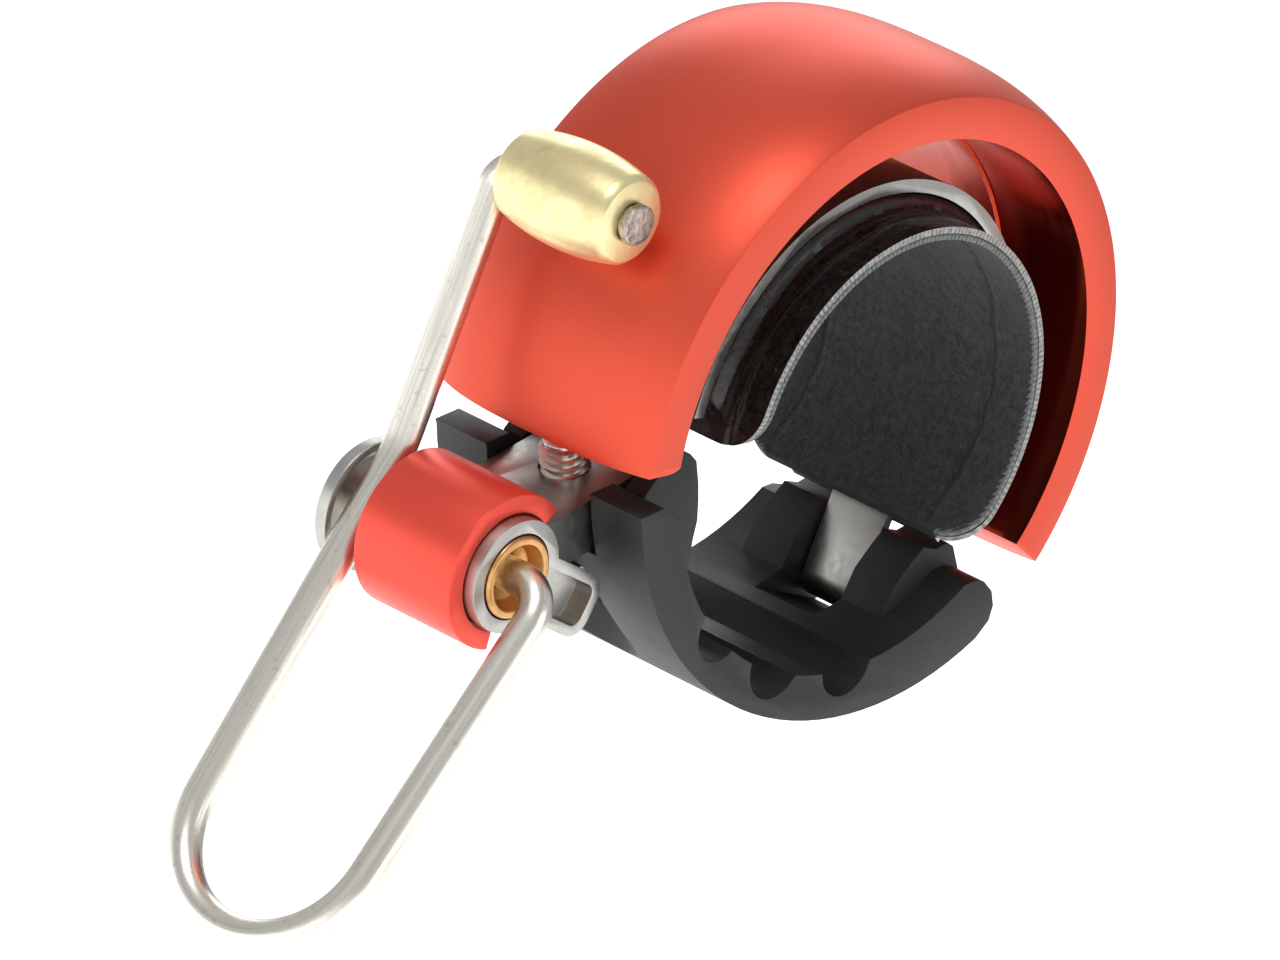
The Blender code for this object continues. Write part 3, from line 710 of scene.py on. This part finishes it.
class RINGBELL_OT_backing(bpy.types.Operator):
    """Form the black backing, raised in the middle where it fills the saddle"""

    bl_idname = "ringbell.backing"
    bl_label = "Backing"

    def execute(self, context):
        shape = sheet_around_bar(BACKING_OUTER, backing_height)
        shape.normal_update()
        point_outwards(shape)
        edges = [edge for edge in shape.edges if edge.is_boundary]
        walls = bmesh.ops.extrude_edge_only(shape, edges=edges)
        for vert in only(bmesh.types.BMVert, walls["geom"]):
            scale = mm(BACKING_INNER) / math.hypot(vert.co.x, vert.co.z)
            vert.co.x *= scale
            vert.co.z *= scale
        for face in only(bmesh.types.BMFace, walls["geom"]):
            face.material_index = 1
        inner = sheet_around_bar(BACKING_INNER, lambda s, y: 0.0)
        inner.normal_update()
        point_outwards(inner)
        bmesh.ops.reverse_faces(inner, faces=inner.faces)
        add_shape(shape, inner)
        bmesh.ops.remove_doubles(shape, verts=shape.verts, dist=mm(0.02))
        bmesh.ops.recalc_face_normals(shape, faces=shape.faces)
        side = cut_edge_finish("backing_side", (0.30, 0.30, 0.285))
        piece = as_piece("liner_pad", shape, [backing_finish(), side], 50)
        settle(piece, "clamp", "rubber", "band_backing")
        return {"FINISHED"}


# Steel ------------------------------------------------------------------------------------------


class RINGBELL_OT_clamp_steel(bpy.types.Operator):
    """Finish the saddle band, the lever frame and their rivets"""

    bl_idname = "ringbell.clamp_steel"
    bl_label = "Band and Lever Frame"

    def execute(self, context):
        steel = steel_finish()
        edge = sizes().edge_width * 1000
        finished_copy("saddle", "saddle_band", [steel], edge, "clamp", "steel")
        finished_copy("lever_arm", "lever_frame", [steel], edge, "clamp", "steel")
        for side in ("near", "far"):
            finished_copy(f"{side}_rivet_head", f"{side}_rivet", [steel], 0.3, "clamp", "steel")
        return {"FINISHED"}


class RINGBELL_OT_bell_mount(bpy.types.Operator):
    """Finish the post, the isolating washer and the screw that hold the bell"""

    bl_idname = "ringbell.bell_mount"
    bl_label = "Bell Mount"

    def execute(self, context):
        steel = steel_finish()
        rubber = moulded_nylon("isolator_rubber", (0.014, 0.014, 0.014), 0.5)
        finished_copy("post", "bell_post", [steel], 0.25, "clamp", "steel")
        finished_copy("isolator", "isolator_washer", [rubber], 0.25, "clamp", "rubber")
        finished_copy("post_fixing", "post_screw", [steel], 0.15, "clamp", "steel")
        return {"FINISHED"}


class RINGBELL_OT_bracket(bpy.types.Operator):
    """Finish the lower bracket and its hinge pin"""

    bl_idname = "ringbell.bracket"
    bl_label = "Lower Bracket"

    def execute(self, context):
        nylon = moulded_nylon("black_nylon", colours().nylon, 0.5)
        finished_copy("cradle", "lower_bracket", [nylon], 0.3, "bracket", "black_nylon", sharp=28)
        finished_copy("pin", "hinge_pin", [steel_finish()], 0.15, "bracket", "steel")
        return {"FINISHED"}


# Clamp screw ------------------------------------------------------------------------------------

# Heights are above the lever arm's top face.
THREAD_RADIUS, THREAD_ROOT = 1.98, 1.62
THREAD_FROM, THREAD_TO = -8.0, 2.75
CORE_RADIUS = 1.66
CORE_FROM, CORE_TO = -7.4, 2.85
HEAD_TOP, HEAD_BOTTOM = -8.05, -10.85
HEAD_RADIUS = 3.5
AXIS_GAP = 0.01  # keeps a profile's ends just off the axis


def screw_frame():
    """A matrix from local Z up the clamp screw, its origin on the lever arm's top face."""
    joint = joint_named("screw_turn")
    up = -Vector(joint["axis"]).normalized()
    return Matrix.Translation(Vector(joint["pos_m"])) @ (
        up.to_track_quat("Z", "Y").to_matrix().to_4x4()
    )


def threaded_rod(outer, root, low, high, pitch):
    """A helical thread between two heights, closed at both ends."""
    steps, turns = 32, int((high - low) / pitch) - 1
    shape = bmesh.new()
    crest = [(outer - 0.06, 0.42), (outer, 0.5), (outer - 0.06, 0.58)]
    section = [(root, 0), (root, 0.12), *crest, (root, 0.88), (root, 1)]
    points = [shape.verts.new(mm(radius, 0, low + share * pitch)) for radius, share in section]
    edges = [shape.edges.new(pair) for pair in zip(points, points[1:])]
    bmesh.ops.spin(
        shape, geom=points + edges, cent=(0, 0, 0), axis=(0, 0, 1), angle=math.tau * turns,
        steps=steps * turns, dvec=mm(0, 0, pitch / steps), use_merge=False,
    )
    bmesh.ops.remove_doubles(shape, verts=shape.verts, dist=mm(0.004))
    open_edges = [edge for edge in shape.edges if edge.is_boundary]
    bmesh.ops.holes_fill(shape, edges=open_edges, sides=0)
    bmesh.ops.recalc_face_normals(shape, faces=shape.faces)
    return shape


def thread_finish():
    """The thread's bright crests, and the screw's head."""
    finish = Finish("thread_steel", (0.74, 0.70, 0.66), 0.28, 1.0)
    slow = finish.noise(700, detail=3)
    finish.paint(finish.shade(finish.range(slow, 0.3, 0.7), 0.78, 1.12))
    finish.bump(finish.noise(3000, detail=2), 0.006)
    return finish.material


def valley_dark_finish():
    """The thread's valleys, darker and browner than its crests."""
    finish = Finish("thread_valley", (0.30, 0.19, 0.13), 0.35, 0.9)
    slow = finish.noise(900, detail=3)
    finish.paint(finish.shade(finish.range(slow, 0.3, 0.7), 0.6, 1.2))
    return finish.material


class RINGBELL_OT_clamp_screw(bpy.types.Operator):
    """Cut the clamp screw's thread and finish its washer"""

    bl_idname = "ringbell.clamp_screw"
    bl_label = "Clamp Screw"

    def execute(self, context):
        pitch = sizes().thread_pitch * 1000
        shape = threaded_rod(THREAD_RADIUS, THREAD_ROOT, THREAD_FROM, THREAD_TO, pitch)
        # faces in the thread's valleys take the darker, browner second material
        for face in shape.faces:
            reach = math.hypot(*face.calc_center_median()[:2])
            face.material_index = 1 if reach < mm(1.68) else 0
        core = [
            (AXIS_GAP, CORE_FROM), (CORE_RADIUS, CORE_FROM), (CORE_RADIUS, CORE_TO - 0.35),
            (1.3, CORE_TO), (AXIS_GAP, CORE_TO),
        ]
        add_shape(shape, turn(rounded_profile(core, 0.08), 40))
        head = [
            (1.9, HEAD_TOP), (HEAD_RADIUS - 0.08, HEAD_TOP), (HEAD_RADIUS, HEAD_TOP - 0.1),
            (HEAD_RADIUS, HEAD_BOTTOM + 0.35), (3.2, HEAD_BOTTOM), (1.75, HEAD_BOTTOM),
        ]
        add_shape(shape, turn(head, 64, closed=False))
        socket = [
            (1.62, HEAD_BOTTOM), (1.44, HEAD_BOTTOM + 0.15),
            (1.44, HEAD_BOTTOM + 1.8), (0, HEAD_BOTTOM + 1.95),
        ]
        well = turn(socket, 6, closed=False)
        bmesh.ops.reverse_faces(well, faces=well.faces)
        add_shape(shape, well)
        rims = [
            edge for edge in shape.edges
            if edge.is_boundary and all(abs(v.co.z - mm(HEAD_BOTTOM)) < 1e-6 for v in edge.verts)
        ]
        bmesh.ops.bridge_loops(shape, edges=rims)
        bmesh.ops.transform(shape, matrix=screw_frame(), verts=shape.verts)
        piece = as_piece("socket_screw", shape, [thread_finish(), valley_dark_finish()], 40)
        settle(piece, "screw", "steel", "clamp_screw")
        finished_copy("washer_ring", "clamp_washer", [steel_finish()], 0.12, "washer", "steel")
        return {"FINISHED"}


# Lever pivot ------------------------------------------------------------------------------------


def pivot():
    """The lever pivot's (x, z), in millimetres."""
    low, high = node_box("near_bush")
    return (low.x + high.x) / 2, (low.z + high.z) / 2


def about_pivot():
    """A matrix from local Z along the lever's axle."""
    x, z = pivot()
    return Matrix.Translation(mm(x, 0, z)) @ BAR_ALONG_Y


def bush_shape(profile):
    """A profile turned about the lever's axle, with its corners rounded off."""
    shape = turn(rounded_profile(profile, 0.12), 72)
    bmesh.ops.transform(shape, matrix=about_pivot(), verts=shape.verts)
    return shape


def bronze_finish():
    """Sintered bronze: warm and porous."""
    finish = Finish("sintered_bronze", colours().bronze, 0.34, 1.0)
    pores = finish.noise(3600, detail=2)
    slow = finish.noise(420, detail=4)
    finish.paint(finish.shade(finish.range(slow, 0.3, 0.7), 0.72, 1.15))
    finish.rough(finish.range(pores, 0.3, 0.7, 0.28, 0.44))
    finish.bump(pores, 0.01)
    return finish.material


class RINGBELL_OT_pivot(bpy.types.Operator):
    """Finish the red sleeve, the bushes, the spring and the end cup of the lever's pivot"""

    bl_idname = "ringbell.pivot"
    bl_label = "Lever Pivot"

    def execute(self, context):
        dye = [c * share for c, share in zip(colours().bell, (1.15, 0.95, 1.15))]
        red = anodised("sleeve_red", dye, 0.38, 0.6)
        finished_copy("sleeve", "pivot_sleeve", [red], 0.3, "clamp", "red_anodised")
        bronze = bronze_finish()
        mouth = [
            (3.25, -7.3), (3.4, -7.1), (3.4, -3.4), (1.5, -3.4),
            (1.5, -5.3), (2.3, -5.9), (2.75, -7.3),
        ]
        piece = as_piece("flared_bush", bush_shape(mouth), [bronze])
        settle(piece, "clamp", "bronze", "near_bush")
        plain = [(3.4, 0.9), (3.4, 4.1), (1.5, 4.1), (1.5, 0.9)]
        piece = as_piece("plain_bush", bush_shape(plain), [bronze])
        settle(piece, "clamp", "bronze", "far_bush")
        coil = rolled_steel("spring_steel", (0.5, 0.49, 0.47), 0.3)
        finished_copy("coil_spring", "return_spring", [coil], 0, "clamp", "steel")
        cup = [
            (5.4, 8.4), (5.4, 9.45), (5.05, 9.8), (1.5, 9.8),
            (1.5, 9.1), (4.1, 9.1), (4.55, 8.75), (4.65, 8.4),
        ]
        piece = as_piece("axle_cup", bush_shape(cup), [steel_finish()])
        settle(piece, "lever", "steel", "end_cup")
        return {"FINISHED"}


# Wire lever -------------------------------------------------------------------------------------

HAMMER = (-32.75, -0.1, 10.1)  # the middle of the hammer
HAMMER_LENGTH = 11.6
LOOP_BEND = 8.45
WIRE_SIDES = 36
WIRE_STRIDE = 1.6  # the longest straight piece of wire in one face


def wire_corners():
    """The wire's corners with their bend radii, from the axle's far end to the hammer."""
    x, z = pivot()
    half = HAMMER_LENGTH / 2
    return [
        ((x, 9.65, z), None),
        ((x, -10.5, z), 3.0),
        ((-43.7, -10.5, -50.85), LOOP_BEND),
        ((-43.7, 6.6, -50.85), LOOP_BEND),
        ((-33.7, 6.6, -13.5), 14.0),
        ((HAMMER[0], HAMMER[1] + half + 2.0, HAMMER[2]), 1.9),
        ((HAMMER[0], HAMMER[1] - half - 0.35, HAMMER[2]), None),
    ]


def run_on(shape, front, step):
    """Extrudes the wire's open end straight on, in strides, and returns the new end."""
    count = max(1, round(step.length * 1000 / WIRE_STRIDE))
    for _ in range(count):
        grown = bmesh.ops.extrude_edge_only(shape, edges=only(bmesh.types.BMEdge, front))["geom"]
        verts = only(bmesh.types.BMVert, grown)
        bmesh.ops.translate(shape, verts=verts, vec=step / count)
        ring = set(verts)
        front = verts + [
            edge for edge in only(bmesh.types.BMEdge, grown) if set(edge.verts) <= ring
        ]
    return front


def bend_on(shape, front, centre, axis, angle):
    """Spins the wire's open end round a bend, and returns the new end."""
    steps = max(6, round(math.degrees(angle) / 3.5))
    made = bmesh.ops.spin(
        shape, geom=front, cent=centre, axis=axis, angle=angle, steps=steps, use_merge=False,
    )["geom_last"]
    return only(bmesh.types.BMVert, made) + only(bmesh.types.BMEdge, made)


def wire_shape():
    """The bent wire, one ring of points extruded and spun along its route."""
    corners = [(mm(*where), bend) for where, bend in wire_corners()]
    shape = bmesh.new()
    first = (corners[1][0] - corners[0][0]).normalized()
    turned = Matrix.Translation(corners[0][0]) @ first.to_track_quat("Z", "X").to_matrix().to_4x4()
    bmesh.ops.create_circle(
        shape, cap_ends=False, segments=WIRE_SIDES, radius=sizes().wire_radius, matrix=turned,
    )
    around = shape.verts.layers.float_vector.new("around")
    for i, vert in enumerate(shape.verts):
        angle = math.tau * i / WIRE_SIDES
        vert[around] = (math.cos(angle), math.sin(angle), 0)
    front = list(shape.verts) + list(shape.edges)
    start_ring = list(shape.edges)
    here = corners[0][0]
    for i in range(1, len(corners) - 1):
        corner, bend = corners[i]
        before, after = corners[i - 1][0], corners[i + 1][0]
        into, out = (corner - before).normalized(), (after - corner).normalized()
        half = into.angle(out) / 2
        bend = mm(bend)
        start = corner - into * (bend * math.tan(half))
        centre = corner + (out - into).normalized() * (bend / math.cos(half))
        front = run_on(shape, front, start - here)
        front = bend_on(shape, front, centre, into.cross(out).normalized(), 2 * half)
        here = corner + out * (bend * math.tan(half))
    front = run_on(shape, front, corners[-1][0] - here)
    bmesh.ops.holes_fill(shape, edges=start_ring, sides=0)
    bmesh.ops.holes_fill(shape, edges=only(bmesh.types.BMEdge, front), sides=0)
    bmesh.ops.recalc_face_normals(shape, faces=shape.faces)
    return shape


def wire_finish():
    """Drawn stainless wire: long streaks that follow the wire, warm and dull between them."""
    finish = Finish("drawn_wire", colours().wire, 0.36, 1.0)
    around = finish.vectors("MULTIPLY", finish.attribute("around"), (2.2, 2.2, 2.2))
    slow = finish.vectors("MULTIPLY", finish.place(), (40, 40, 40))
    vector = finish.vectors("ADD", around, slow)
    streaks = finish.noise(2.4, vector, detail=5, rough=0.65)
    specks = finish.range(finish.noise(1400, detail=3), 0.62, 0.72, 0.0, 0.35)
    body = finish.shade(finish.range(streaks, 0.36, 0.66), 0.74, 1.12)
    finish.paint(finish.mix(specks, body, (0.34, 0.29, 0.21, 1)))
    finish.rough(finish.range(streaks, 0.3, 0.7, 0.38, 0.24))
    finish.bump(streaks, 0.012)
    finish.bump(finish.noise(2600, detail=2), 0.004)
    return finish.material


def peened_finish():
    """The hammered end of the wire: grey, blotched and dented."""
    finish = Finish("peened_end", (0.42, 0.38, 0.34), 0.42, 1.0)
    blotch = finish.noise(1500, detail=4, rough=0.7)
    finish.paint(finish.shade(finish.range(blotch, 0.35, 0.65), 0.55, 1.5))
    finish.bump(blotch, 0.10)
    return finish.material


class RINGBELL_OT_lever(bpy.types.Operator):
    """Bend the wire lever and peen its end"""

    bl_idname = "ringbell.lever"
    bl_label = "Wire Lever"

    def execute(self, context):
        shape = wire_shape()
        half = HAMMER_LENGTH / 2
        rim = [(1.35, 0.0), (1.62, 0.10), (1.65, 0.25), (1.65, 0.72)]
        stub = turn(rounded_profile(rim, 0.12) + [(0, 0.72), (0, 0)], 40)
        place = Matrix.Translation(mm(HAMMER[0], HAMMER[1] - half - 1.0, HAMMER[2])) @ BAR_ALONG_Y
        bmesh.ops.transform(stub, matrix=place, verts=stub.verts)
        for face in stub.faces:
            face.material_index = 1
        add_shape(shape, stub)
        piece = as_piece("bent_wire", shape, [wire_finish(), peened_finish()])
        settle(piece, "lever", "stainless_wire", "wire_lever")
        return {"FINISHED"}


# Hammer -----------------------------------------------------------------------------------------

BARREL_POINTS = 32
BARREL_END, BARREL_SWELL = 3.5, 0.8  # radius at the ends, and how much it grows to the middle


def hammer_finish():
    """Tumbled brass: pale, blotched with tarnish and finely dented."""
    finish = Finish("tumbled_brass", colours().brass, 0.38, 0.85)
    blotch = finish.noise(360, detail=5, rough=0.62)
    fine = finish.noise(1900, detail=3)
    body = finish.shade(finish.range(blotch, 0.34, 0.68), 0.82, 1.1)
    tarnish = finish.range(finish.noise(190, detail=4, rough=0.7), 0.56, 0.72, 0.0, 0.35)
    finish.paint(finish.mix(tarnish, body, (0.50, 0.33, 0.13, 1)))
    finish.rough(finish.range(blotch, 0.3, 0.7, 0.44, 0.28))
    finish.bump(fine, 0.012)
    finish.bump(blotch, 0.05)
    return finish.material


class RINGBELL_OT_hammer(bpy.types.Operator):
    """Turn the barrel-shaped brass hammer"""

    bl_idname = "ringbell.hammer"
    bl_label = "Hammer"

    def execute(self, context):
        half = HAMMER_LENGTH / 2
        outside = []
        for i in range(BARREL_POINTS + 1):
            along = -half + 0.45 + (HAMMER_LENGTH - 0.9) * i / BARREL_POINTS
            outside.append((BARREL_END + BARREL_SWELL * (1 - (along / half) ** 2), along))
        profile = [(3.0, -half), (3.28, -half + 0.06), *outside, (3.28, half - 0.06), (3.0, half)]
        profile += [(1.62, half), (1.48, half - 0.15), (1.48, -half + 0.15), (1.62, -half)]
        shape = turn(profile, 96)
        place = Matrix.Translation(mm(*HAMMER)) @ BAR_ALONG_Y
        bmesh.ops.transform(shape, matrix=place, verts=shape.verts)
        piece = as_piece("barrel_hammer", shape, [hammer_finish()])
        settle(piece, "striker", "brass", "hammer")
        return {"FINISHED"}


# Stage ------------------------------------------------------------------------------------------

FLOOR_DROP = 0.04  # metres below the object
FLOOR_GLOW = 0.75
WORLD_LIGHT = 0.47
LIGHTS = (  # name, place and size in metres, power in watts
    ("key", (-0.70, -0.05, 0.95), 0.5, 4.2),
    ("fill", (0.25, -1.05, 0.30), 0.7, 2.0),
    ("rim", (0.55, 0.65, 0.6), 0.6, 2.0),
)
CAMERA_PLACE = (-0.7548, -0.5590, 0.1006)
CAMERA_BACK = (-0.7933, -0.5972, 0.1187)  # the way from what it looks at to the camera
CAMERA_UP = (-0.1258, 0.3516, 0.9277)
SENSOR_WIDTH, FOCAL_LENGTH = 36, 337.5


def paper_finish():
    """Pale studio paper, faintly uneven."""
    finish = Finish("studio_paper", (0.94, 0.94, 0.94), 0.9)
    finish.paint(finish.shade(finish.noise(3, detail=2), 0.985, 1.015))
    finish.shader.inputs["Emission Color"].default_value = (1, 1, 1, 1)
    finish.shader.inputs["Emission Strength"].default_value = FLOOR_GLOW
    return finish.material


def add_light(name, place, size, power):
    """A square soft light that faces the origin."""
    light = bpy.data.lights.new(name, "AREA")
    light.shape = "SQUARE"
    light.size = size
    light.energy = power
    lamp = bpy.data.objects.new(name, light)
    lamp.location = place
    lamp.rotation_euler = (-Vector(place)).to_track_quat("-Z", "Y").to_euler()
    bpy.context.scene.collection.objects.link(lamp)


class RINGBELL_OT_stage(bpy.types.Operator):
    """Set up the floor, the soft lights and the camera"""

    bl_idname = "ringbell.stage"
    bl_label = "Stage"

    def execute(self, context):
        shape = bmesh.new()
        drop = Matrix.Translation((0, 0, cad_bounds[0].z - FLOOR_DROP))
        bmesh.ops.create_grid(shape, x_segments=8, y_segments=8, size=8, matrix=drop)
        floor = as_piece("floor", shape, [paper_finish()])

        world = context.scene.world or bpy.data.worlds.new("studio")
        context.scene.world = world
        world.use_nodes = True
        backdrop = world.node_tree.nodes["Background"]
        backdrop.inputs["Color"].default_value = (1, 1, 1, 1)
        backdrop.inputs["Strength"].default_value = WORLD_LIGHT
        for light in LIGHTS:
            add_light(*light)

        lens = bpy.data.cameras.new("camera")
        lens.sensor_width = SENSOR_WIDTH
        lens.lens = FOCAL_LENGTH
        lens.clip_end = 100
        camera = bpy.data.objects.new("camera", lens)
        back = Vector(CAMERA_BACK).normalized()
        up = Vector(CAMERA_UP)
        right = up.cross(back).normalized()
        up = back.cross(right)
        turned = Matrix((right, up, back)).transposed().to_4x4()
        camera.matrix_world = Matrix.Translation(CAMERA_PLACE) @ turned
        context.scene.collection.objects.link(camera)
        context.scene.camera = camera
        context.scene.view_settings.view_transform = "Standard"
        return {"FINISHED"}


# Panel and registration -------------------------------------------------------------------------

OPERATORS = (
    RINGBELL_OT_bell,
    RINGBELL_OT_bell_mount,
    RINGBELL_OT_backing,
    RINGBELL_OT_lining,
    RINGBELL_OT_clamp_steel,
    RINGBELL_OT_bracket,
    RINGBELL_OT_clamp_screw,
    RINGBELL_OT_pivot,
    RINGBELL_OT_lever,
    RINGBELL_OT_hammer,
    RINGBELL_OT_stage,
)


class RINGBELL_PT_panel(bpy.types.Panel):
    """Sizes, colours and the steps that build the bell"""

    bl_idname = "RINGBELL_PT_panel"
    bl_label = "Ring Bell"
    bl_space_type = "VIEW_3D"
    bl_region_type = "UI"
    bl_category = "Ring Bell"

    def draw(self, context):
        layout = self.layout
        for group in (sizes(), colours()):
            box = layout.box()
            for name in group.bl_rna.properties.keys():
                if name not in ("rna_type", "name"):
                    box.prop(group, name)
        for operator in OPERATORS:
            layout.operator(operator.bl_idname)


CLASSES = (RingBellSizes, RingBellColours, *OPERATORS, RINGBELL_PT_panel)


def register():
    for cls in CLASSES:
        bpy.utils.register_class(cls)
    bpy.types.Scene.ring_bell_sizes = PointerProperty(type=RingBellSizes)
    bpy.types.Scene.ring_bell_colours = PointerProperty(type=RingBellColours)


def unregister():
    del bpy.types.Scene.ring_bell_colours
    del bpy.types.Scene.ring_bell_sizes
    for cls in reversed(CLASSES):
        bpy.utils.unregister_class(cls)


def main():
    """Builds every piece and the stage."""
    register()
    bpy.ops.ringbell.bell()
    bpy.ops.ringbell.bell_mount()
    bpy.ops.ringbell.backing()
    bpy.ops.ringbell.lining()
    bpy.ops.ringbell.clamp_steel()
    bpy.ops.ringbell.bracket()
    bpy.ops.ringbell.clamp_screw()
    bpy.ops.ringbell.pivot()
    bpy.ops.ringbell.lever()
    bpy.ops.ringbell.hammer()
    bpy.ops.ringbell.stage()


if __name__ == "__main__":
    main()
